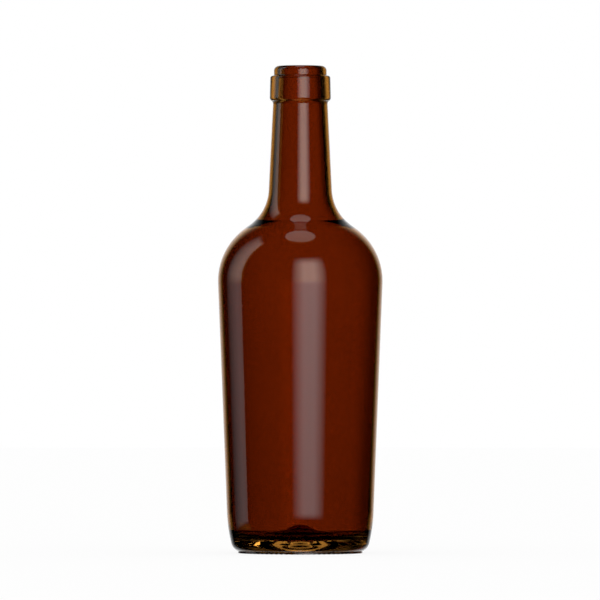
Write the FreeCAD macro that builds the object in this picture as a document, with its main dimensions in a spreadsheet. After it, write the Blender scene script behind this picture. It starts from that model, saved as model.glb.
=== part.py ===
"""An empty wine bottle of dark amber glass: tapered side, round shoulder, cork finish and punt.

The bottle is one piece of glass, so it is one PartDesign body. It stands upright with its axis
on Z and the tips of its knurled bearing ring on the plane Z = 0. Lengths are in millimetres.
"""
import FreeCAD, Part
import math
import os

import Sketcher

# Every driving size: its name in the sheet, its value and what it measures.
SIZES = [
    ("total_height", 230.0, "floor to the top of the mouth"),
    ("body_diameter", 77.9, "widest, at the foot of the shoulder"),
    ("base_diameter", 69.35, "where the tapered side meets the heel"),
    ("shoulder_height", 128.4, "height of the widest place"),
    ("shoulder_radius", 30.5, "round of the shoulder"),
    ("shoulder_run", 3.2, "straight stretch between the shoulder and the neck's root"),
    ("neck_root_radius", 21.6, "hollow curve from the shoulder to the neck"),
    ("neck_diameter", 25.8, "neck, just under the band"),
    ("neck_lean", 2.84, "slope of the neck's side, degrees from upright"),
    ("heel_height", 19.4, "where the heel's sweep begins"),
    ("heel_sweep_radius", 75.0, "slow curve that draws the side in to the heel"),
    ("heel_radius", 5.4, "tight curve from the side to the underside"),
    ("ring_inset", 5.3, "bearing ring's outer edge, in from the base's side"),
    ("ring_width", 4.4, "bearing ring, across"),
    ("ring_height", 0.5, "bearing ring, below the underside"),
    ("knurl_count", 72, "knurls round the bearing ring"),
    ("knurl_gap_depth", 0.4, "hollow between two knurls, deep"),
    ("knurl_gap_share", 0.7831, "that hollow's width, as a share of the knurls' inner spacing"),
    ("knurl_length", 3.2, "knurls, in from the ring's outer edge"),
    ("punt_height", 11.0, "top of the punt, seen from below"),
    ("punt_glass", 3.8, "glass above the punt"),
    ("punt_ledge", 2.6, "flat between the bearing ring and the punt"),
    ("punt_crown_share", 0.49, "round top of the punt, as a share of the punt's reach"),
    ("punt_foot_share", 0.4, "hollow curve at the punt's foot, as a share of its reach"),
    ("floor_height", 7.0, "lowest place inside"),
    ("floor_corner_radius", 5.0, "round between the floor and the wall, inside"),
    ("heel_wall", 2.7, "glass at the height of the heel"),
    ("shoulder_wall", 2.0, "glass at the shoulder"),
    ("dome_rise", 0.5, "inner shoulder's centre, above the outer one's"),
    ("lip_diameter", 24.9, "lip above the band"),
    ("lip_height", 4.7, "lip above the band, high"),
    ("lip_round", 2.4, "outer edge of the mouth"),
    ("band_diameter", 28.9, "band, at its lower edge"),
    ("band_height", 11.8, "band, high"),
    ("band_lean", 1.4, "slope of the band's side, degrees from upright"),
    ("band_top_round", 1.1, "upper edge of the band"),
    ("band_foot_round", 0.7, "lower edge of the band"),
    ("band_throat_round", 0.8, "hollow between the neck and the band"),
    ("bore_diameter", 18.5, "mouth, inside"),
    ("mouth_round", 0.7, "inner edge of the mouth"),
    ("overcut", 1.0, "how far each cut runs past the glass"),
]

# Sizes that follow from the driving ones.
DERIVED = [
    ("ring_outer_radius", "=base_diameter / 2 - ring_inset"),
    ("ring_inner_radius", "=ring_outer_radius - ring_width"),
    ("punt_foot_reach", "=ring_inner_radius - punt_ledge"),
    ("punt_crown_radius", "=punt_crown_share * punt_foot_reach"),
    ("punt_foot_radius", "=punt_foot_share * punt_foot_reach"),
    ("inner_crown_height", "=punt_height + punt_glass"),
    ("inner_crown_radius", "=punt_crown_radius + punt_glass"),
    ("shoulder_centre", "=body_diameter / 2 - shoulder_radius"),
    ("inner_shoulder_radius", "=shoulder_radius - shoulder_wall"),
    ("inner_shoulder_height", "=shoulder_height + dome_rise"),
    ("root_distance", "=sqrt((shoulder_radius + neck_root_radius) ^ 2 + shoulder_run ^ 2)"),
    ("inner_base_radius", "=base_diameter / 2 - heel_wall"),
    ("band_top_height", "=total_height - lip_height"),
    ("band_foot_height", "=band_top_height - band_height"),
    ("neck_rise", "=sin(neck_lean * 1 deg)"),
    ("neck_top_height", "=band_foot_height - band_throat_round * (1 + neck_rise)"),
    ("bore_top_height", "=total_height - mouth_round * (1 + neck_rise)"),
    ("neck_step", "=(neck_diameter - bore_diameter) / 2 * cos(neck_lean * 1 deg)"),
    ("neck_wall", "=neck_step - (bore_top_height - neck_top_height) * neck_rise"),
    ("flare_radius", "=neck_root_radius + neck_wall"),
    ("knurl_start", "=ring_outer_radius - knurl_length"),
    ("knurl_gap_width", "=knurl_gap_share * 2 * pi * knurl_start / knurl_count"),
    ("knurl_gap_radius", "=(knurl_gap_width ^ 2 / knurl_gap_depth / 4 + knurl_gap_depth) / 2"),
]

# How Sketcher names the two axes and the points of a piece.
AXIS_R, AXIS_Z = -1, -2
START, END, CENTRE = 1, 2, 3


def fill_sheet(document):
    """Write the sizes into a sheet, each in a cell of its own with its name as the alias."""
    cells = document.addObject("Spreadsheet::Sheet", "Sizes")
    rows = [(name, str(number), note) for name, number, note in SIZES]
    rows += [(name, formula, "follows from the others") for name, formula in DERIVED]
    for row, (name, content, note) in enumerate(rows, start=1):
        cells.set(f"A{row}", name)
        cells.set(f"B{row}", content)
        cells.set(f"C{row}", note)
        cells.setAlias(f"B{row}", name)
    document.recompute()
    return cells


document = FreeCAD.newDocument("WineBottle")
sheet = fill_sheet(document)


def size(name):
    """The present value of a named size."""
    return float(sheet.get(name))


def origin_of(body, role):
    """One of the body's own origin planes or axes, found by its role."""
    for feature in body.Origin.OriginFeatures:
        if feature.Role == role:
            return feature
    raise RuntimeError(f"{body.Label} has no {role}")


def polar(centre, radius, angle):
    """The point at an angle, in radians, on a circle."""
    return (centre[0] + radius * math.cos(angle), centre[1] + radius * math.sin(angle))


def direction(start, end):
    """The angle, in radians, of the way from one point to another."""
    return math.atan2(end[1] - start[1], end[0] - start[0])


def crossing_line(first, first_radius, second, second_radius, leftward=True):
    """Ends of the line that leaves one circle and runs into another that turns the other way."""
    apart = math.dist(first, second)
    turn = math.acos((first_radius + second_radius) / apart)
    leave = direction(first, second) + (-turn if leftward else turn)
    return polar(first, first_radius, leave), polar(second, second_radius, leave + math.pi)


def rising_line(foot, centre, radius):
    """Top of the line that goes up from a foot and touches a circle on its outer side."""
    apart = math.dist(foot, centre)
    lean = direction(foot, centre) - math.asin(radius / apart)
    return polar(foot, math.sqrt(apart ** 2 - radius ** 2), lean)


class Profile:
    """Half of a turned outline on the XZ plane, drawn as one closed chain of lines and arcs."""

    def __init__(self, body, name):
        self.sketch = body.newObject("Sketcher::SketchObject", name)
        self.sketch.AttachmentSupport = [(origin_of(body, "XZ_Plane"), "")]
        self.sketch.MapMode = "FlatFace"
        self.chain = []

    def line(self, start, end):
        """Add a straight piece to the chain."""
        piece = Part.LineSegment(FreeCAD.Vector(*start, 0), FreeCAD.Vector(*end, 0))
        index = self.sketch.addGeometry(piece, False)
        self.chain.append((index, START, END))
        return index

    def arc(self, centre, start, end, radius_name, leftward=True):
        """Add an arc to the chain, which turns left on its way or, in a hollow, right."""
        first, last = (start, end) if leftward else (end, start)
        circle = Part.Circle(FreeCAD.Vector(*centre, 0), FreeCAD.Vector(0, 0, 1), size(radius_name))
        from_angle = direction(centre, first)
        to_angle = direction(centre, last)
        if to_angle < from_angle:
            to_angle += 2 * math.pi
        index = self.sketch.addGeometry(Part.ArcOfCircle(circle, from_angle, to_angle), False)
        self.chain.append((index, START, END) if leftward else (index, END, START))
        self.measure(f"Sizes.{radius_name}", size(radius_name), "Radius", index)
        return index

    def rule(self, *terms):
        """Add a geometric constraint and return its place in the sketch."""
        return self.sketch.addConstraint(Sketcher.Constraint(*terms))

    def measure(self, formula, number, *terms):
        """Add a dimension and bind it to a formula of the sheet."""
        index = self.rule(*terms, number)
        self.sketch.setExpression(f"Constraints[{index}]", formula)

    def reach(self, formula, number, piece, point):
        """Hold a point at a distance from the axis."""
        self.measure(formula, number, "DistanceX", AXIS_R, START, piece, point)

    def height(self, formula, number, piece, point):
        """Hold a point at a height above the floor."""
        self.measure(formula, number, "DistanceY", AXIS_R, START, piece, point)

    def upright_lean(self, name, piece):
        """Lean a piece that goes up inward by a named angle."""
        radians = math.pi / 2 + math.radians(size(name))
        self.measure(f"90 deg + Sizes.{name} * 1 deg", radians, "Angle", piece)

    def close(self, corners, axis):
        """Join the chain, smoothly but for a corner at the end of the pieces named, and hold it."""
        following = self.chain[1:] + self.chain[:1]
        for (piece, _, last), (next_piece, first, _) in zip(self.chain, following):
            kind = "Coincident" if piece in corners else "Tangent"
            self.rule(kind, piece, last, next_piece, first)
        self.rule("PointOnObject", axis, START, AXIS_Z)
        self.rule("PointOnObject", axis, END, AXIS_Z)


def neck_root_centre():
    """Centre of the hollow curve that touches the neck's side and meets the shoulder's run."""
    lean = math.radians(size("neck_lean"))
    shoulder = (size("shoulder_centre"), size("shoulder_height"))
    neck_top = (size("neck_diameter") / 2, size("neck_top_height"))
    # The centre lies on a line beside the neck's side, as far from the shoulder's as the run asks.
    beside = polar(neck_top, size("neck_root_radius"), lean)
    down = (math.sin(lean), -math.cos(lean))
    gap = (beside[0] - shoulder[0], beside[1] - shoulder[1])
    along = gap[0] * down[0] + gap[1] * down[1]
    inside = along ** 2 - gap[0] ** 2 - gap[1] ** 2 + size("root_distance") ** 2
    travel = -along - math.sqrt(inside)
    return (beside[0] + travel * down[0], beside[1] + travel * down[1])


def crossing_point(first, first_radius, second, second_radius):
    """Where two circles cross, on the left of the way from the first centre to the second."""
    apart = math.dist(first, second)
    along = (first_radius ** 2 - second_radius ** 2 + apart ** 2) / (2 * apart)
    return polar(first, first_radius, direction(first, second) + math.acos(along / first_radius))


def draw_outside(body):
    """Outline of the glass outside, from the underside up to the rim of the mouth."""
    profile = Profile(body, "OutsideProfile")
    underside = size("ring_height")
    top = size("total_height")

    # The tapered side runs up from the heel and touches the shoulder's round.
    side_foot = (size("base_diameter") / 2, size("heel_height"))
    shoulder = (size("shoulder_centre"), size("shoulder_height"))
    side_top = rising_line(side_foot, shoulder, size("shoulder_radius"))

    # Below the side a slow sweep and then a tight curve lead to the flat underside.
    sweep_radius = size("heel_sweep_radius")
    sweep = polar(side_foot, sweep_radius, direction(side_foot, side_top) + math.pi / 2)
    heel_z = underside + size("heel_radius")
    heel_shift = math.sqrt((sweep_radius - size("heel_radius")) ** 2 - (sweep[1] - heel_z) ** 2)
    heel = (sweep[0] + heel_shift, heel_z)
    heel_top = polar(heel, size("heel_radius"), direction(sweep, heel))
    heel_foot = (heel[0], underside)

    # The neck's side leans inward as it rises and ends in the hollow under the band.
    band_z = size("band_foot_height")
    neck_lean = math.radians(size("neck_lean"))
    throat_radius = size("band_throat_round")
    neck_top = (size("neck_diameter") / 2, size("neck_top_height"))
    throat = polar(neck_top, throat_radius, neck_lean)
    root = neck_root_centre()
    neck_foot = polar(root, size("neck_root_radius"), math.pi + neck_lean)
    run_foot, run_top = crossing_line(
        shoulder, size("shoulder_radius"), root, size("neck_root_radius"))

    # The band has a rounded lower edge, a side that leans a little and a rounded upper edge.
    band_lean = math.radians(size("band_lean"))
    foot_radius = size("band_foot_round")
    band_foot = (size("band_diameter") / 2 - foot_radius * math.cos(band_lean), band_z + foot_radius)
    band_side_foot = polar(band_foot, foot_radius, band_lean)
    top_radius = size("band_top_round")
    band_top_z = size("band_top_height")
    band_side_z = band_top_z - top_radius + top_radius * math.sin(band_lean)
    band_rise = band_side_z - band_side_foot[1]
    band_side_top = (band_side_foot[0] - band_rise * math.tan(band_lean), band_side_z)
    band_top = polar(band_side_top, top_radius, math.pi + band_lean)

    # The lip stands on the band and rounds over to the rim.
    lip_reach = size("lip_diameter") / 2
    lip = (lip_reach - size("lip_round"), top - size("lip_round"))

    base = profile.line((0, underside), heel_foot)
    profile.arc(heel, heel_foot, heel_top, "heel_radius")
    profile.arc(sweep, heel_top, side_foot, "heel_sweep_radius")
    side = profile.line(side_foot, side_top)
    shoulder_arc = profile.arc(shoulder, side_top, run_foot, "shoulder_radius")
    run = profile.line(run_foot, run_top)
    profile.arc(root, run_top, neck_foot, "neck_root_radius", leftward=False)
    neck = profile.line(neck_foot, neck_top)
    profile.arc(throat, neck_top, (throat[0], band_z), "band_throat_round", leftward=False)
    band_under = profile.line((throat[0], band_z), (band_foot[0], band_z))
    profile.arc(band_foot, (band_foot[0], band_z), band_side_foot, "band_foot_round")
    band_side = profile.line(band_side_foot, band_side_top)
    profile.arc(band_top, band_side_top, (band_top[0], band_top_z), "band_top_round")
    band_over = profile.line((band_top[0], band_top_z), (lip_reach, band_top_z))
    lip_side = profile.line((lip_reach, band_top_z), (lip_reach, lip[1]))
    profile.arc(lip, (lip_reach, lip[1]), (lip[0], top), "lip_round")
    rim = profile.line((lip[0], top), (0, top))
    axis = profile.line((0, top), (0, underside))

    profile.close([band_over, rim, axis], axis)
    for level in (base, band_under, band_over, rim):
        profile.rule("Horizontal", level)
    profile.rule("Vertical", lip_side)
    profile.height("Sizes.ring_height", underside, base, START)
    profile.reach("Sizes.base_diameter / 2", side_foot[0], side, START)
    profile.height("Sizes.heel_height", side_foot[1], side, START)
    profile.reach("Sizes.shoulder_centre", shoulder[0], shoulder_arc, CENTRE)
    profile.height("Sizes.shoulder_height", shoulder[1], shoulder_arc, CENTRE)
    profile.measure("Sizes.shoulder_run", size("shoulder_run"), "Distance", run)
    profile.upright_lean("neck_lean", neck)
    profile.reach("Sizes.neck_diameter / 2", neck_top[0], neck, END)
    profile.height("Sizes.band_foot_height", band_z, band_under, END)
    profile.upright_lean("band_lean", band_side)
    profile.reach("Sizes.band_diameter / 2", band_side_foot[0], band_side, START)
    profile.height("Sizes.band_top_height", band_top_z, band_over, END)
    profile.reach("Sizes.lip_diameter / 2", lip_reach, lip_side, START)
    profile.height("Sizes.total_height", top, axis, START)
    return profile.sketch


def draw_punt_rise(profile, crown_name, crown_height_name, foot_height_name):
    """Begin a profile at the axis with the punt's crown, its slope and the hollow at its foot."""
    crown_top = size(crown_height_name)
    crown = (0, crown_top - size(crown_name))
    level = size(foot_height_name)
    foot = (size("punt_foot_reach"), level + size("punt_foot_radius"))
    slope_top, slope_foot = crossing_line(
        crown, size(crown_name), foot, size("punt_foot_radius"), leftward=False)

    crown_arc = profile.arc(crown, (0, crown_top), slope_top, crown_name, leftward=False)
    profile.line(slope_top, slope_foot)
    foot_arc = profile.arc(foot, slope_foot, (foot[0], level), "punt_foot_radius")
    profile.rule("PointOnObject", crown_arc, CENTRE, AXIS_Z)
    profile.height(f"Sizes.{crown_height_name}", crown_top, crown_arc, END)
    profile.reach("Sizes.punt_foot_reach", foot[0], foot_arc, CENTRE)
    return (foot[0], level)


def draw_cavity(body):
    """Outline of the space inside: raised floor, wall, domed shoulder, flare and bore."""
    profile = Profile(body, "CavityProfile")
    top = size("total_height")
    floor_start = draw_punt_rise(profile, "inner_crown_radius", "inner_crown_height", "floor_height")

    # The wall passes the heel's height at its own thickness and touches the inner shoulder.
    wall_mark = (size("inner_base_radius"), size("heel_height"))
    shoulder = (size("shoulder_centre"), size("inner_shoulder_height"))
    wall_top = rising_line(wall_mark, shoulder, size("inner_shoulder_radius"))

    # A round corner joins the floor to the wall.
    corner_radius = size("floor_corner_radius")
    wall_lean = direction(wall_mark, wall_top)
    corner_z = size("floor_height") + corner_radius
    beside = polar(wall_mark, corner_radius, wall_lean + math.pi / 2)
    corner = (beside[0] + (corner_z - beside[1]) / math.tan(wall_lean), corner_z)
    wall_foot = polar(corner, corner_radius, wall_lean - math.pi / 2)

    # The bore runs beside the neck's side, and its mouth has a rounded inner edge.
    neck_lean = math.radians(size("neck_lean"))
    bore_top = (size("bore_diameter") / 2, size("bore_top_height"))
    mouth = polar(bore_top, size("mouth_round"), neck_lean)
    above = top + size("overcut")

    # At its foot it flares out round the centre of the neck's root and meets the dome in a crease.
    root = neck_root_centre()
    flare_top = polar(root, size("flare_radius"), math.pi + neck_lean)
    crease = crossing_point(shoulder, size("inner_shoulder_radius"), root, size("flare_radius"))

    floor = profile.line(floor_start, (corner[0], floor_start[1]))
    profile.arc(corner, (corner[0], floor_start[1]), wall_foot, "floor_corner_radius")
    wall = profile.line(wall_foot, wall_top)
    dome = profile.arc(shoulder, wall_top, crease, "inner_shoulder_radius")
    flare = profile.arc(root, crease, flare_top, "flare_radius", leftward=False)
    bore = profile.line(flare_top, bore_top)
    mouth_arc = profile.arc(mouth, bore_top, (mouth[0], top), "mouth_round", leftward=False)
    rise = profile.line((mouth[0], top), (mouth[0], above))
    cap = profile.line((mouth[0], above), (0, above))
    axis = profile.line((0, above), (0, size("inner_crown_height")))

    profile.close([dome, mouth_arc, rise, cap, axis], axis)
    profile.rule("Horizontal", floor)
    profile.rule("Horizontal", cap)
    profile.rule("Vertical", rise)
    profile.rule("Vertical", mouth_arc, START, mouth_arc, CENTRE)
    profile.height("Sizes.floor_height", floor_start[1], floor, START)
    mark = profile.sketch.addGeometry(Part.Point(FreeCAD.Vector(*wall_mark, 0)), True)
    profile.rule("PointOnObject", mark, START, wall)
    profile.reach("Sizes.inner_base_radius", wall_mark[0], mark, START)
    profile.height("Sizes.heel_height", wall_mark[1], mark, START)
    profile.reach("Sizes.shoulder_centre", shoulder[0], dome, CENTRE)
    profile.height("Sizes.inner_shoulder_height", shoulder[1], dome, CENTRE)
    outer_shoulder = (size("shoulder_centre"), size("shoulder_height"))
    hub = profile.sketch.addGeometry(Part.Point(FreeCAD.Vector(*outer_shoulder, 0)), True)
    profile.reach("Sizes.shoulder_centre", outer_shoulder[0], hub, START)
    profile.height("Sizes.shoulder_height", outer_shoulder[1], hub, START)
    distance = size("root_distance")
    profile.measure("Sizes.root_distance", distance, "Distance", hub, START, flare, CENTRE)
    profile.upright_lean("neck_lean", bore)
    profile.reach("Sizes.bore_diameter / 2", bore_top[0], bore, END)
    profile.height("Sizes.total_height", top, rise, START)
    profile.height("Sizes.total_height + Sizes.overcut", above, cap, END)
    return profile.sketch


def draw_punt(body):
    """Outline of the hollow underneath, from its crown out to the bearing ring."""
    profile = Profile(body, "PuntProfile")
    below = -size("overcut")
    reach = size("ring_inner_radius")
    level = size("ring_height")
    ledge_start = draw_punt_rise(profile, "punt_crown_radius", "punt_height", "ring_height")

    ledge = profile.line(ledge_start, (reach, level))
    drop = profile.line((reach, level), (reach, below))
    cut = profile.line((reach, below), (0, below))
    axis = profile.line((0, below), (0, size("punt_height")))

    profile.close([ledge, drop, cut, axis], axis)
    profile.rule("Horizontal", ledge)
    profile.rule("Vertical", drop)
    profile.rule("Horizontal", cut)
    profile.height("Sizes.ring_height", level, ledge, START)
    profile.reach("Sizes.ring_inner_radius", reach, drop, START)
    profile.height("-Sizes.overcut", below, cut, END)
    return profile.sketch


def draw_bearing_ring(body):
    """Section of the ring that the bottle stands on; its top is buried in the heel's glass."""
    profile = Profile(body, "BearingRingProfile")
    inner = size("ring_inner_radius")
    outer = size("ring_outer_radius")
    buried = size("ring_height") + size("heel_radius")

    tread = profile.line((inner, 0), (outer, 0))
    outside = profile.line((outer, 0), (outer, buried))
    roof = profile.line((outer, buried), (inner, buried))
    inside = profile.line((inner, buried), (inner, 0))

    following = [outside, roof, inside, tread]
    for piece, next_piece in zip([tread, outside, roof, inside], following):
        profile.rule("Coincident", piece, END, next_piece, START)
    profile.rule("Horizontal", roof)
    profile.rule("Vertical", outside)
    profile.rule("Vertical", inside)
    profile.rule("PointOnObject", tread, START, AXIS_R)
    profile.rule("PointOnObject", tread, END, AXIS_R)
    profile.reach("Sizes.ring_inner_radius", inner, tread, START)
    profile.reach("Sizes.ring_outer_radius", outer, tread, END)
    profile.height("Sizes.ring_height + Sizes.heel_radius", buried, roof, START)
    return profile.sketch


def draw_knurl_gap(body):
    """The round hollow between two knurls, drawn across the bearing ring at its inner end."""
    sketch = body.newObject("Sketcher::SketchObject", "KnurlGapProfile")
    sketch.AttachmentSupport = [(origin_of(body, "YZ_Plane"), "")]
    sketch.MapMode = "FlatFace"
    sketch.setExpression("AttachmentOffset.Base.z", "Sizes.knurl_start")
    radius = size("knurl_gap_radius")
    depth = size("knurl_gap_depth")
    centre = FreeCAD.Vector(0, depth - radius, 0)
    circle = sketch.addGeometry(Part.Circle(centre, FreeCAD.Vector(0, 0, 1), radius), False)
    sketch.addConstraint(Sketcher.Constraint("PointOnObject", circle, CENTRE, AXIS_Z))
    round_rule = sketch.addConstraint(Sketcher.Constraint("Radius", circle, radius))
    sketch.setExpression(f"Constraints[{round_rule}]", "Sizes.knurl_gap_radius")
    drop_rule = sketch.addConstraint(
        Sketcher.Constraint("DistanceY", circle, CENTRE, AXIS_R, START, radius - depth))
    sketch.setExpression(f"Constraints[{drop_rule}]", "Sizes.knurl_gap_radius - Sizes.knurl_gap_depth")
    return sketch


def turn(body, kind, name, sketch):
    """Sweep a profile once round the bottle's axis, as glass or as a cut."""
    feature = body.newObject(kind, name)
    feature.Profile = sketch
    feature.ReferenceAxis = (origin_of(body, "Z_Axis"), [""])
    feature.Angle = 360
    return feature


def cut_knurls(body):
    """Cut one gap through the bearing ring's outer part and repeat it all the way round."""
    gap = body.newObject("PartDesign::Pocket", "KnurlGap")
    gap.Profile = draw_knurl_gap(body)
    gap.Type = "Length"
    gap.setExpression("Length", "Sizes.knurl_length + Sizes.overcut")
    gap.Reversed = True
    ring = body.newObject("PartDesign::PolarPattern", "Knurls")
    ring.Originals = [gap]
    ring.Axis = (origin_of(body, "Z_Axis"), [""])
    ring.Angle = 360
    ring.setExpression("Occurrences", "Sizes.knurl_count")
    body.Tip = ring
    return gap, ring


def check(before, after, grows):
    """Stop if a feature that should add or remove glass has not."""
    change = after.Shape.Volume - before.Shape.Volume
    if (change > 0) != grows or abs(change) < 1:
        raise RuntimeError(f"{after.Label} changes the volume by {change:.1f} cubic mm")


def build_bottle():
    """The whole bottle as one body."""
    body = document.addObject("PartDesign::Body", "Bottle")
    body.Label = "bottle"
    blank = turn(body, "PartDesign::Revolution", "Blank", draw_outside(body))
    ring = turn(body, "PartDesign::Revolution", "BearingRing", draw_bearing_ring(body))
    cavity = turn(body, "PartDesign::Groove", "Cavity", draw_cavity(body))
    punt = turn(body, "PartDesign::Groove", "Punt", draw_punt(body))
    gap, knurls = cut_knurls(body)
    document.recompute()
    check(blank, ring, grows=True)
    check(ring, cavity, grows=False)
    check(cavity, punt, grows=False)
    check(punt, gap, grows=False)
    check(gap, knurls, grows=False)
    return body


bottle = build_bottle()

for item in document.Objects:
    if "Invalid" in item.State or "Error" in item.State:
        raise RuntimeError(f"{item.Label} did not build: {item.State}")
if bottle.Shape.isNull() or not bottle.Shape.isValid() or len(bottle.Shape.Solids) != 1:
    raise RuntimeError("The bottle is not one valid solid")

os.makedirs("parts", exist_ok=True)
bottle.Shape.exportStep(f"parts/{bottle.Label}.step")
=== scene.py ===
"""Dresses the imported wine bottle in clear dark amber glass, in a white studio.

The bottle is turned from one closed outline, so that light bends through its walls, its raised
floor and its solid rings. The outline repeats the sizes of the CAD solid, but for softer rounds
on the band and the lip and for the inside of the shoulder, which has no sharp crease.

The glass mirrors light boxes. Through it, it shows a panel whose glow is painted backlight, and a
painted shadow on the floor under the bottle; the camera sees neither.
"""
import math

import bpy
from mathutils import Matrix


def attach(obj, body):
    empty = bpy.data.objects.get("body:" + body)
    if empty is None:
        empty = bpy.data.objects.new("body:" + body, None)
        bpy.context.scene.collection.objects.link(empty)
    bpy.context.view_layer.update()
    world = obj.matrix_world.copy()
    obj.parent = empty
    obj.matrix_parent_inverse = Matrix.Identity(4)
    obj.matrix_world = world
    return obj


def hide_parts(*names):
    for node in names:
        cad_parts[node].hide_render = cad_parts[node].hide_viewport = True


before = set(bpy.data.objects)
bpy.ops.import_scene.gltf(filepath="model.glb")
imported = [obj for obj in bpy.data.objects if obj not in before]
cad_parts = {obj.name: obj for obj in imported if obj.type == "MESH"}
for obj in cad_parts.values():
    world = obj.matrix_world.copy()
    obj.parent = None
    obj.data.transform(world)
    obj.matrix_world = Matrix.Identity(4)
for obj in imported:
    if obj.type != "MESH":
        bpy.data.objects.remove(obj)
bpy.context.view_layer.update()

MM = 0.001

# Outside, in millimetres, as in the CAD source but for the rounds marked as softer.
TOTAL_HEIGHT = 230.0
# The hair taken off keeps the body inside the box of the frame's facets.
FACET_GAP = 0.031
BODY_RADIUS = 77.9 / 2 - FACET_GAP
BASE_RADIUS = 69.35 / 2
SHOULDER_HEIGHT = 128.4
SHOULDER_ROUND = 30.5
SHOULDER_RUN = 3.2
NECK_ROOT_ROUND = 21.6
NECK_RADIUS = 25.8 / 2
NECK_LEAN = math.radians(2.84)
HEEL_HEIGHT = 19.4
HEEL_SWEEP = 75.0
HEEL_ROUND = 5.4
LIP_RADIUS = 24.9 / 2
LIP_HEIGHT = 4.7
LIP_ROUND = 2.4
BAND_RADIUS = 28.9 / 2
BAND_HEIGHT = 11.8
BAND_LEAN = math.radians(1.4)
BAND_TOP_ROUND = 1.1
# Softer than the CAD source's 0.7, 0.8 and none.
BAND_FOOT_ROUND = 1.2
BAND_THROAT_ROUND = 1.5
LIP_FOOT_ROUND = 0.55
BAND_TOP = TOTAL_HEIGHT - LIP_HEIGHT
BAND_FOOT = BAND_TOP - BAND_HEIGHT

# Bearing ring and punt.
RING_OUTER = BASE_RADIUS - 5.3
RING_INNER = RING_OUTER - 4.4
RING_HEIGHT = 0.5
KNURL_COUNT = 72
KNURL_GAP_ROUND = 1.2
KNURL_GAP_DEPTH = 0.4
KNURL_START = RING_OUTER - 3.2
PUNT_HEIGHT = 11.0
PUNT_GLASS = 3.8
PUNT_REACH = RING_INNER - 2.6
PUNT_CROWN = 0.49 * PUNT_REACH
PUNT_FOOT = 0.4 * PUNT_REACH

# Inside; the crease is faint here and sharp in the CAD source.
FLOOR_HEIGHT = 7.0
FLOOR_CORNER = 5.0
HEEL_WALL = 2.7
SHOULDER_WALL = 2.0
CREASE_HEIGHT = 155.8
BORE_RADIUS = 18.5 / 2
MOUTH_ROUND = 0.7

# Enough for every knurl, and under 200,000 triangles in all.
SEGMENTS = KNURL_COUNT * 6
AXIS_REACH = 1e-9

# Material of each stretch of the outline: the tints differ outside, inside and at the base.
OUTSIDE, INSIDE, BASE = range(3)


def polar(centre, radius, angle):
    """Point at a distance and an angle from a centre."""
    return (centre[0] + radius * math.cos(angle), centre[1] + radius * math.sin(angle))


def direction(start, end):
    """Angle of the way from one point to another."""
    return math.atan2(end[1] - start[1], end[0] - start[0])


def crossing_line(first, first_radius, second, second_radius, leftward=True):
    """Ends of the line that leaves one circle and runs into another that turns the other way."""
    turn = math.acos((first_radius + second_radius) / math.dist(first, second))
    leave = direction(first, second) + (-turn if leftward else turn)
    return polar(first, first_radius, leave), polar(second, second_radius, leave + math.pi)


def rising_line(foot, centre, radius):
    """Top of the line that goes up from a foot and touches a circle on its outer side."""
    apart = math.dist(foot, centre)
    lean = direction(foot, centre) - math.asin(radius / apart)
    return polar(foot, math.sqrt(apart ** 2 - radius ** 2), lean)


class Outline:
    """Half section of the glass, walked with the glass on the left, as stretches of points."""

    def __init__(self, start):
        self.point = start
        self.stretches = []
        self.zones = []
        self.zone = BASE

    def line(self, end, parts=1, knurled=False):
        """Go straight to a point."""
        way = direction(self.point, end)
        normal = (math.sin(way), -math.cos(way))
        places = [i / parts for i in range(parts + 1)]
        spots = [tuple(a + (b - a) * t for a, b in zip(self.point, end)) for t in places]
        self.stretches.append([(spot, normal, knurled) for spot in spots])
        self.zones.append(self.zone)
        self.point = end

    def arc(self, centre, end, parts, leftward=True):
        """Go round a centre to a point."""
        radius = math.dist(centre, self.point)
        begin = direction(centre, self.point)
        finish = direction(centre, end)
        if leftward and finish < begin:
            finish += 2 * math.pi
        if not leftward and finish > begin:
            finish -= 2 * math.pi
        side = 1 if leftward else -1
        stretch = []
        for i in range(parts + 1):
            angle = begin + (finish - begin) * i / parts
            normal = (side * math.cos(angle), side * math.sin(angle))
            stretch.append((polar(centre, radius, angle), normal, False))
        self.stretches.append(stretch)
        self.zones.append(self.zone)
        self.point = end


def punt_rise(crown_round, crown_height, foot_height):
    """Centres and slope of the punt's rise: crown, top and foot of the slope, hollow's centre."""
    crown = (0.0, crown_height - crown_round)
    foot = (PUNT_REACH, foot_height + PUNT_FOOT)
    slope_top, slope_foot = crossing_line(crown, crown_round, foot, PUNT_FOOT, leftward=False)
    return crown, slope_top, slope_foot, foot


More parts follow.
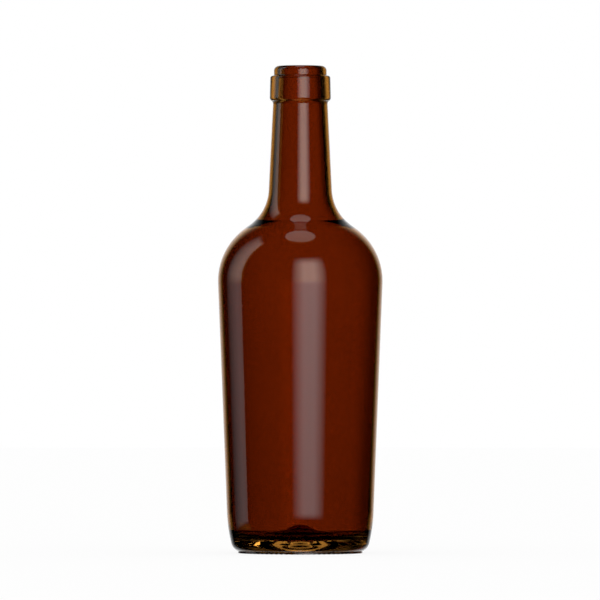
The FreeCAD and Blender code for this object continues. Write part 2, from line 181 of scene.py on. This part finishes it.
def draw_outline():
    """The whole half section, from the punt's crown round the outside and back down the inside."""
    # Underside: punt, ledge, bearing ring.
    crown, slope_top, slope_foot, foot = punt_rise(PUNT_CROWN, PUNT_HEIGHT, RING_HEIGHT)
    outline = Outline((0.0, PUNT_HEIGHT))
    outline.arc(crown, slope_top, 10, leftward=False)
    outline.line(slope_foot)
    outline.arc(foot, (PUNT_REACH, RING_HEIGHT), 6)
    outline.line((RING_INNER, RING_HEIGHT))
    outline.line((RING_INNER, 0.0))
    outline.line((KNURL_START, 0.0))
    outline.line((RING_OUTER, 0.0), 2, knurled=True)

    # Heel, side and shoulder; the ring's side runs up into the heel's curve.
    side_foot = (BASE_RADIUS, HEEL_HEIGHT)
    shoulder = (BODY_RADIUS - SHOULDER_ROUND, SHOULDER_HEIGHT)
    side_top = rising_line(side_foot, shoulder, SHOULDER_ROUND)
    sweep = polar(side_foot, HEEL_SWEEP, direction(side_foot, side_top) + math.pi / 2)
    heel_z = RING_HEIGHT + HEEL_ROUND
    heel_shift = math.sqrt((HEEL_SWEEP - HEEL_ROUND) ** 2 - (sweep[1] - heel_z) ** 2)
    heel = (sweep[0] + heel_shift, heel_z)
    heel_top = polar(heel, HEEL_ROUND, direction(sweep, heel))
    ring_rise = math.sqrt(HEEL_ROUND ** 2 - (RING_OUTER - heel[0]) ** 2)
    outline.line((RING_OUTER, heel_z - ring_rise))
    outline.zone = OUTSIDE
    outline.arc(heel, heel_top, 12)
    outline.arc(sweep, side_foot, 6)
    outline.line(side_top, 8)

    # Neck root, neck and throat.
    throat = (
        NECK_RADIUS + BAND_THROAT_ROUND * math.cos(NECK_LEAN), BAND_FOOT - BAND_THROAT_ROUND)
    neck_top = polar(throat, BAND_THROAT_ROUND, math.pi + NECK_LEAN)
    apart = math.hypot(SHOULDER_ROUND + NECK_ROOT_ROUND, SHOULDER_RUN)
    beside = polar(neck_top, NECK_ROOT_ROUND, NECK_LEAN)
    down = (math.sin(NECK_LEAN), -math.cos(NECK_LEAN))
    gap = (beside[0] - shoulder[0], beside[1] - shoulder[1])
    along = gap[0] * down[0] + gap[1] * down[1]
    travel = -along - math.sqrt(along ** 2 - gap[0] ** 2 - gap[1] ** 2 + apart ** 2)
    root = (beside[0] + travel * down[0], beside[1] + travel * down[1])
    run_foot, run_top = crossing_line(shoulder, SHOULDER_ROUND, root, NECK_ROOT_ROUND)
    outline.arc(shoulder, run_foot, 22)
    outline.line(run_top)
    outline.arc(root, polar(root, NECK_ROOT_ROUND, math.pi + NECK_LEAN), 20, leftward=False)
    outline.line(neck_top, 4)
    outline.arc(throat, (throat[0], BAND_FOOT), 5, leftward=False)

    # Band and lip.
    band_foot = (
        BAND_RADIUS - BAND_FOOT_ROUND * math.cos(BAND_LEAN), BAND_FOOT + BAND_FOOT_ROUND)
    side_z = BAND_TOP - BAND_TOP_ROUND * (1 - math.sin(BAND_LEAN))
    band_side_foot = polar(band_foot, BAND_FOOT_ROUND, BAND_LEAN)
    band_rise = side_z - band_side_foot[1]
    band_side_top = (band_side_foot[0] - band_rise * math.tan(BAND_LEAN), side_z)
    band_top = polar(band_side_top, BAND_TOP_ROUND, math.pi + BAND_LEAN)
    lip = (LIP_RADIUS - LIP_ROUND, TOTAL_HEIGHT - LIP_ROUND)
    outline.line((band_foot[0], BAND_FOOT))
    outline.arc(band_foot, band_side_foot, 6)
    outline.line(band_side_top, 2)
    outline.arc(band_top, (band_top[0], BAND_TOP), 6)
    lip_foot = (LIP_RADIUS + LIP_FOOT_ROUND, BAND_TOP + LIP_FOOT_ROUND)
    outline.line((lip_foot[0], BAND_TOP))
    outline.arc(lip_foot, (LIP_RADIUS, lip_foot[1]), 5, leftward=False)
    outline.line((LIP_RADIUS, lip[1]))
    outline.arc(lip, (lip[0], TOTAL_HEIGHT), 10)

    # Mouth, bore and the flare at its foot, as thick as the neck's wall.
    mouth = (BORE_RADIUS + MOUTH_ROUND * math.cos(NECK_LEAN), TOTAL_HEIGHT - MOUTH_ROUND)
    bore_top = polar(mouth, MOUTH_ROUND, math.pi + NECK_LEAN)
    across = (neck_top[0] - bore_top[0], neck_top[1] - bore_top[1])
    neck_wall = across[0] * math.cos(NECK_LEAN) + across[1] * math.sin(NECK_LEAN)
    flare = NECK_ROOT_ROUND + neck_wall
    outline.line((mouth[0], TOTAL_HEIGHT))
    outline.zone = INSIDE
    outline.arc(mouth, bore_top, 5)
    outline.line(polar(root, flare, math.pi + NECK_LEAN), 4)

    # The flare ends in a faint crease, and a straight stretch runs from there onto the dome.
    dome_round = SHOULDER_ROUND - SHOULDER_WALL
    drop = root[1] - CREASE_HEIGHT
    crease = (root[0] - math.sqrt(flare ** 2 - drop ** 2), CREASE_HEIGHT)
    apart = math.dist(crease, shoulder)
    falling = direction(crease, shoulder) + math.asin(dome_round / apart)
    dome_top = polar(crease, math.sqrt(apart ** 2 - dome_round ** 2), falling)
    wall_mark = (BASE_RADIUS - HEEL_WALL, HEEL_HEIGHT)
    wall_top = rising_line(wall_mark, shoulder, dome_round)
    outline.arc(root, crease, 16)
    outline.line(dome_top, 2)
    outline.arc(shoulder, wall_top, 30, leftward=False)

    # Wall, floor and raised floor over the punt.
    wall_lean = direction(wall_mark, wall_top)
    corner_z = FLOOR_HEIGHT + FLOOR_CORNER
    beside = polar(wall_mark, FLOOR_CORNER, wall_lean + math.pi / 2)
    corner = (beside[0] + (corner_z - beside[1]) / math.tan(wall_lean), corner_z)
    outline.line(polar(corner, FLOOR_CORNER, wall_lean - math.pi / 2), 8)
    outline.zone = BASE
    outline.arc(corner, (corner[0], FLOOR_HEIGHT), 10, leftward=False)
    top = PUNT_HEIGHT + PUNT_GLASS
    crown, slope_top, slope_foot, foot = punt_rise(PUNT_CROWN + PUNT_GLASS, top, FLOOR_HEIGHT)
    outline.line((PUNT_REACH, FLOOR_HEIGHT))
    outline.arc(foot, slope_foot, 6, leftward=False)
    outline.line(slope_top)
    outline.arc(crown, (0.0, top), 10)
    return outline


def knurl_gap(radius, angle):
    """Depth of the hollow between two knurls at a place on the tread, and its slope across."""
    pitch = 2 * math.pi / KNURL_COUNT
    offset = angle - round(angle / pitch) * pitch
    across = radius * math.sin(offset)
    below = KNURL_GAP_ROUND - KNURL_GAP_DEPTH
    rise = KNURL_GAP_ROUND ** 2 - across ** 2 - below ** 2
    if rise <= 0:
        return 0.0, 0.0
    reach = math.sqrt(KNURL_GAP_ROUND ** 2 - across ** 2)
    return reach - below, -across / reach


def turn_outline(name, outline):
    """Mesh of the outline turned about Z, with the outline's own normals at every corner."""
    turns = [2 * math.pi * k / SEGMENTS for k in range(SEGMENTS)]
    rounds = [(math.cos(t), math.sin(t)) for t in turns]
    verts, rings, rows, zones = [], [], [], []

    def add_ring(spot, knurled):
        radius, z = spot
        if radius < AXIS_REACH:
            verts.append((0.0, 0.0, z * MM))
            rings.append([len(verts) - 1] * SEGMENTS)
            return len(rings) - 1
        first = len(verts)
        for turned, (c, s) in zip(turns, rounds):
            depth = knurl_gap(radius, turned)[0] if knurled else 0.0
            verts.append((radius * c * MM, radius * s * MM, (z + depth) * MM))
        rings.append(list(range(first, first + SEGMENTS)))
        return len(rings) - 1

    last = None
    for stretch, zone in zip(outline.stretches, outline.zones):
        row = []
        for i, (spot, normal, knurled) in enumerate(stretch):
            shared = i == 0 and last is not None and not knurled
            ring = last if shared else add_ring(spot, knurled)
            row.append((ring, spot[0], normal, knurled))
        if stretch[0][2] and last is not None:
            step = stretch[0][0][0]
            rows.append([(last, step, (1.0, 0.0), False), (row[0][0], step, (1.0, 0.0), False)])
            zones.append(zone)
        rows.append(row)
        zones.append(zone)
        last = row[-1][0]

    def corner_normal(entry, k):
        _, radius, (out, up), knurled = entry
        c, s = rounds[k]
        if knurled:
            slope = knurl_gap(radius, turns[k])[1]
            size = math.hypot(slope, 1.0)
            return (-s * slope / size, c * slope / size, -1.0 / size)
        return (out * c, out * s, up)

    faces, normals, sides = [], [], []
    for row, zone in zip(rows, zones):
        for low, high in zip(row, row[1:]):
            a, b = rings[low[0]], rings[high[0]]
            for k in range(SEGMENTS):
                n = (k + 1) % SEGMENTS
                corners = [(a[k], low, k), (a[n], low, n), (b[n], high, n), (b[k], high, k)]
                if a[k] == a[n]:
                    corners.pop(1)
                if b[k] == b[n]:
                    corners.pop(2)
                faces.append([c[0] for c in corners])
                sides.append(zone)
                normals.extend(corner_normal(entry, m) for _, entry, m in corners)

    mesh = bpy.data.meshes.new(name)
    mesh.from_pydata(verts, [], faces)
    mesh.polygons.foreach_set("material_index", sides)
    mesh.shade_smooth()
    mesh.normals_split_custom_set(normals)
    piece = bpy.data.objects.new(name, mesh)
    bpy.context.scene.collection.objects.link(piece)
    return piece


# --- materials -------------------------------------------------------------------------------

def add(tree, kind, **values):
    """A new node with its properties set, and its input values where a name starts with in_."""
    node = tree.nodes.new(kind)
    for name, value in values.items():
        if name.startswith("in_"):
            node.inputs[name[3:].replace("_", " ")].default_value = value
        else:
            setattr(node, name, value)
    return node


GLASS_IOR = 1.5


def glass_material(name, light, dark):
    """Clear glass whose tint runs between a light and a dark colour."""
    material = bpy.data.materials.new(name)
    material.use_nodes = True
    tree = material.node_tree
    shader = tree.nodes["Principled BSDF"]
    shader.inputs["Transmission Weight"].default_value = 1.0
    shader.inputs["Roughness"].default_value = 0.0
    shader.inputs["IOR"].default_value = GLASS_IOR
    coords = add(tree, "ShaderNodeTexCoord")
    # The melt's colour runs a little uneven, in long slow streaks.
    streaks = add(tree, "ShaderNodeTexNoise", in_Scale=14.0, in_Detail=1.0)
    tint = add(tree, "ShaderNodeValToRGB")
    tint.color_ramp.elements[0].position = 0.3
    tint.color_ramp.elements[0].color = (*dark, 1)
    tint.color_ramp.elements[1].position = 0.7
    tint.color_ramp.elements[1].color = (*light, 1)
    tree.links.new(coords.outputs["Object"], streaks.inputs["Vector"])
    tree.links.new(streaks.outputs["Fac"], tint.inputs["Fac"])
    tree.links.new(tint.outputs["Color"], shader.inputs["Base Color"])
    return material


bottle = turn_outline("bottle_glass", draw_outline())
# In the order of OUTSIDE, INSIDE and BASE.
for side, light, dark in (
        ("outside", (0.48, 0.20, 0.031), (0.46, 0.19, 0.029)),
        ("inside", (0.32, 0.070, 0.024), (0.30, 0.066, 0.023)),
        ("base", (0.24, 0.055, 0.018), (0.22, 0.050, 0.016))):
    bottle.data.materials.append(glass_material("amber_glass_" + side, light, dark))
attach(bottle, "root")
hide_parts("bottle")


# --- studio ----------------------------------------------------------------------------------

# The panel that only the glass shows, whose glow is painted backlight that lights nothing: its
# place and size in metres.
PANEL_BEHIND = 0.125
PANEL_HALF = 0.25
PANEL_HEIGHT = 0.5
# Half-width and middle of its glow in metres, and how sharply the glow ends.
PANEL_GLOW = 0.047
PANEL_MIDDLE = 0.005
PANEL_EDGE = 3.76
# Its strength at the foot and the top, and the heights in metres between which it rises.
PANEL_FOOT = 0.70
PANEL_TOP = 0.87
PANEL_RISE = (0.02, 0.12)
# Seen through the glass, the floor has a painted shadow: dark within the first distance, in metres,
# and lit past the second.
PAINTED_SHADOW_RADIUS = 0.04
PAINTED_SHADOW_FADE_RADIUS = 0.09
FLOOR_HALF = 3.0
FLOOR_COLOUR = 0.9
# Share of the floor that the camera sees as plain white; the rest keeps the shadow.
FLOOR_WHITE = 0.88
# The mirrored backdrop fades in between these bearings from the front, in degrees, and out
# between these heights.
BACKDROP_EDGE = (145, 172)
BACKDROP_TOP = (40, 15)
# Strength of each light box, where white is 1. The left one grows brighter upwards.
RIGHT_POWER = 3.15
LEFT_POWER = 0.75
LEFT_POWER_RISE = 0.5
TOP_POWER = 1.1
WINDOW_POWER = 0.3
# How far the round box overhead hangs to the front.
TOP_LEAN = math.radians(2.6)


def maths(tree, operation, *terms):
    """A maths node over sockets and numbers."""
    node = add(tree, "ShaderNodeMath", operation=operation)
    for place, term in enumerate(terms):
        if isinstance(term, (int, float)):
            node.inputs[place].default_value = term
        else:
            tree.links.new(term, node.inputs[place])
    return node.outputs[0]


def ramp(tree, value, start, end, top=1.0):
    """0 where a value is at its start, the top where it is at its end, straight between."""
    node = add(tree, "ShaderNodeMapRange")
    node.inputs["To Max"].default_value = top
    node.inputs["From Min"].default_value = start
    node.inputs["From Max"].default_value = end
    tree.links.new(value, node.inputs["Value"])
    return node.outputs["Result"]


def product(tree, *terms):
    """All the terms multiplied."""
    result = terms[0]
    for term in terms[1:]:
        result = maths(tree, "MULTIPLY", result, term)
    return result


def pick(tree, share, first, second):
    """The first of two numbers where the share is 0, the second where it is 1."""
    rest = maths(tree, "SUBTRACT", 1.0, share)
    return maths(tree, "MULTIPLY_ADD", rest, first, maths(tree, "MULTIPLY", share, second))


def bearings(tree, x, y):
    """Bearing from the front in degrees, to the right, and the same without its sign."""
    bearing = maths(tree, "DEGREES", maths(tree, "ARCTAN2", x, maths(tree, "MULTIPLY", y, -1.0)))
    return bearing, maths(tree, "ABSOLUTE", bearing)


def unmirrored(tree, path):
    """1 for light that no surface has mirrored on its way, 0 for the rest."""
    return maths(tree, "SUBTRACT", 1.0, maths(tree, "MINIMUM", path.outputs["Glossy Depth"], 1.0))


def build_world():
    """White studio; what the glass mirrors is dark but for soft boxes and the lit backdrop."""
    world = bpy.data.worlds.new("studio")
    world.use_nodes = True
    bpy.context.scene.world = world
    tree = world.node_tree
    background = tree.nodes["Background"]
    coords = add(tree, "ShaderNodeTexCoord")
    axes = add(tree, "ShaderNodeSeparateXYZ")
    tree.links.new(coords.outputs["Generated"], axes.inputs[0])
    x, y, z = axes.outputs
    bearing, turned = bearings(tree, x, y)
    height = maths(tree, "DEGREES", maths(tree, "ARCSINE", z))

    right_box = product(
        tree, ramp(tree, bearing, -12.8, 5), ramp(tree, bearing, 38.5, 21),
        ramp(tree, height, -10.5, -3), ramp(tree, height, 43, 30))
    left_box = product(
        tree, ramp(tree, bearing, -127, -100), ramp(tree, bearing, -90.5, -92),
        ramp(tree, height, -10, -8), ramp(tree, height, 55, 50))
    left_power = maths(
        tree, "MULTIPLY_ADD", ramp(tree, height, -3, 6), LEFT_POWER_RISE, LEFT_POWER)
    overhead = maths(tree, "DEGREES", maths(tree, "ARCCOSINE", maths(
        tree, "SUBTRACT", maths(tree, "MULTIPLY", z, math.cos(TOP_LEAN)),
        maths(tree, "MULTIPLY", y, math.sin(TOP_LEAN)))))
    top_box = ramp(tree, overhead, 14.5, 13.5)
    # Behind it a dim square window.
    back = maths(tree, "DEGREES", maths(tree, "ARCTAN2", y, z))
    aside = maths(tree, "DEGREES", maths(tree, "ARCSINE", maths(tree, "ABSOLUTE", x)))
    window = product(
        tree, ramp(tree, aside, 5.5, 4.5), ramp(tree, back, 12, 13), ramp(tree, back, 25, 24))
    backdrop = product(
        tree, ramp(tree, turned, *BACKDROP_EDGE), ramp(tree, height, *BACKDROP_TOP))
    boxes = maths(tree, "MULTIPLY_ADD", right_box, RIGHT_POWER, backdrop)
    boxes = maths(tree, "MULTIPLY_ADD", left_box, left_power, boxes)
    boxes = maths(tree, "MULTIPLY_ADD", window, WINDOW_POWER, boxes)
    boxes = maths(tree, "MULTIPLY_ADD", top_box, TOP_POWER, boxes)

    path = add(tree, "ShaderNodeLightPath")
    tree.links.new(pick(tree, unmirrored(tree, path), boxes, 1.0), background.inputs["Color"])


def stage_piece(name, corners, material):
    """One flat piece of the studio that doesn't show in a mirror."""
    mesh = bpy.data.meshes.new(name)
    mesh.from_pydata(corners, [], [(0, 1, 2, 3)])
    mesh.materials.append(material)
    piece = bpy.data.objects.new(name, mesh)
    bpy.context.scene.collection.objects.link(piece)
    piece.visible_glossy = False
    return piece


def painted_glow(tree, x):
    """How the panel's painted backlight falls off to both sides of its middle."""
    aside = maths(tree, "ABSOLUTE", maths(tree, "SUBTRACT", x, PANEL_MIDDLE))
    fall = maths(tree, "POWER", maths(tree, "DIVIDE", aside, PANEL_GLOW), PANEL_EDGE)
    return maths(tree, "DIVIDE", 1.0, maths(tree, "ADD", fall, 1.0))


def build_floor():
    """White floor that keeps the bottle's shadow, and seen through glass has a painted shadow under
    it.
    """
    material = bpy.data.materials.new("floor_pale_painted_shadow_and_glow")
    material.use_nodes = True
    tree = material.node_tree
    tree.nodes.remove(tree.nodes["Principled BSDF"])
    path = add(tree, "ShaderNodeLightPath")
    coords = add(tree, "ShaderNodeTexCoord")
    away = add(tree, "ShaderNodeVectorMath", operation="LENGTH")
    tree.links.new(coords.outputs["Object"], away.inputs[0])
    axes = add(tree, "ShaderNodeSeparateXYZ")
    tree.links.new(coords.outputs["Object"], axes.inputs[0])
    # Seen through the glass, the floor glows with painted light; in front of the panel it glows as
    # the panel's foot does, so that no edge shows between them.
    near_panel = ramp(tree, axes.outputs[1], 0, PANEL_BEHIND)
    fall = maths(tree, "SUBTRACT", painted_glow(tree, axes.outputs[0]), 1.0)
    painted_glow_level = maths(tree, "MULTIPLY", maths(tree, "MULTIPLY_ADD", near_panel, fall, 1.0), PANEL_FOOT)
    # What is mirrored sees that painted glow only where it runs back to the backdrop.
    _, turned = bearings(tree, axes.outputs[0], axes.outputs[1])
    painted_glow_level = pick(tree, unmirrored(tree, path), ramp(tree, turned, *BACKDROP_EDGE), painted_glow_level)
    # Painted shadow: seen through the glass, the floor darkens towards the bottle's axis.
    outside_painted_shadow = ramp(tree, away.outputs["Value"], PAINTED_SHADOW_RADIUS, PAINTED_SHADOW_FADE_RADIUS)
    through = maths(tree, "MULTIPLY", painted_glow_level, outside_painted_shadow)
    matt = add(tree, "ShaderNodeBsdfDiffuse", in_Color=(FLOOR_COLOUR,) * 3 + (1,))
    lit = add(tree, "ShaderNodeEmission")
    # Emission seen through the glass: painted glow, dark in the painted shadow under the bottle.
    seen = add(tree, "ShaderNodeEmission")
    tree.links.new(through, seen.inputs["Strength"])
    share = maths(tree, "MULTIPLY", path.outputs["Is Camera Ray"], FLOOR_WHITE)
    mix = add(tree, "ShaderNodeMixShader")
    tree.links.new(share, mix.inputs[0])
    tree.links.new(matt.outputs[0], mix.inputs[1])
    tree.links.new(lit.outputs[0], mix.inputs[2])
    behind = add(tree, "ShaderNodeMixShader")
    tree.links.new(path.outputs["Is Transmission Ray"], behind.inputs[0])
    tree.links.new(mix.outputs[0], behind.inputs[1])
    tree.links.new(seen.outputs[0], behind.inputs[2])
    tree.links.new(behind.outputs[0], tree.nodes["Material Output"].inputs["Surface"])
    half = FLOOR_HALF
    stage_piece("floor", [(-half, -half, 0), (half, -half, 0), (half, half, 0), (-half, half, 0)],
                material)


def build_painted_backlight_panel():
    """Panel close behind whose glow is painted backlight, seen through the glass alone: bright in
    the middle, dark beside.
    """
    material = bpy.data.materials.new("panel_painted_backlight")
    material.use_nodes = True
    tree = material.node_tree
    tree.nodes.remove(tree.nodes["Principled BSDF"])
    coords = add(tree, "ShaderNodeTexCoord")
    axes = add(tree, "ShaderNodeSeparateXYZ")
    tree.links.new(coords.outputs["Object"], axes.inputs[0])
    # Painted backlight: it grows stronger upwards and falls off to the sides, and lights nothing.
    rise = ramp(tree, axes.outputs[2], *PANEL_RISE, PANEL_TOP - PANEL_FOOT)
    strength = product(tree, maths(tree, "ADD", rise, PANEL_FOOT), painted_glow(tree, axes.outputs[0]))
    lit = add(tree, "ShaderNodeEmission")
    tree.links.new(strength, lit.inputs["Strength"])
    path = add(tree, "ShaderNodeLightPath")
    clear = add(tree, "ShaderNodeBsdfTransparent")
    mix = add(tree, "ShaderNodeMixShader")
    tree.links.new(unmirrored(tree, path), mix.inputs[0])
    tree.links.new(clear.outputs[0], mix.inputs[1])
    tree.links.new(lit.outputs[0], mix.inputs[2])
    tree.links.new(mix.outputs[0], tree.nodes["Material Output"].inputs["Surface"])
    panel = stage_piece("panel", [
        (-PANEL_HALF, PANEL_BEHIND, 0), (PANEL_HALF, PANEL_BEHIND, 0),
        (PANEL_HALF, PANEL_BEHIND, PANEL_HEIGHT), (-PANEL_HALF, PANEL_BEHIND, PANEL_HEIGHT)],
        material)
    panel.visible_camera = False
    panel.visible_diffuse = False
    panel.visible_shadow = False


build_world()
build_floor()
build_painted_backlight_panel()

# --- camera ----------------------------------------------------------------------------------

# In metres.
CAMERA_DISTANCE = 4.2
CAMERA_ASIDE = -0.00014
CAMERA_HEIGHT = 0.1194
VIEW_WIDTH = 0.2832
SENSOR_WIDTH_MM = 36.0
CLIP_END = 50.0
camera_data = bpy.data.cameras.new("camera")
camera_data.sensor_width = SENSOR_WIDTH_MM
camera_data.lens = camera_data.sensor_width * CAMERA_DISTANCE / VIEW_WIDTH
camera_data.clip_end = CLIP_END
camera = bpy.data.objects.new("camera", camera_data)
camera.location = (CAMERA_ASIDE, -CAMERA_DISTANCE, CAMERA_HEIGHT)
camera.rotation_euler = (math.pi / 2, 0.0, 0.0)
bpy.context.scene.collection.objects.link(camera)
bpy.context.scene.camera = camera
bpy.context.scene.view_settings.view_transform = "Standard"
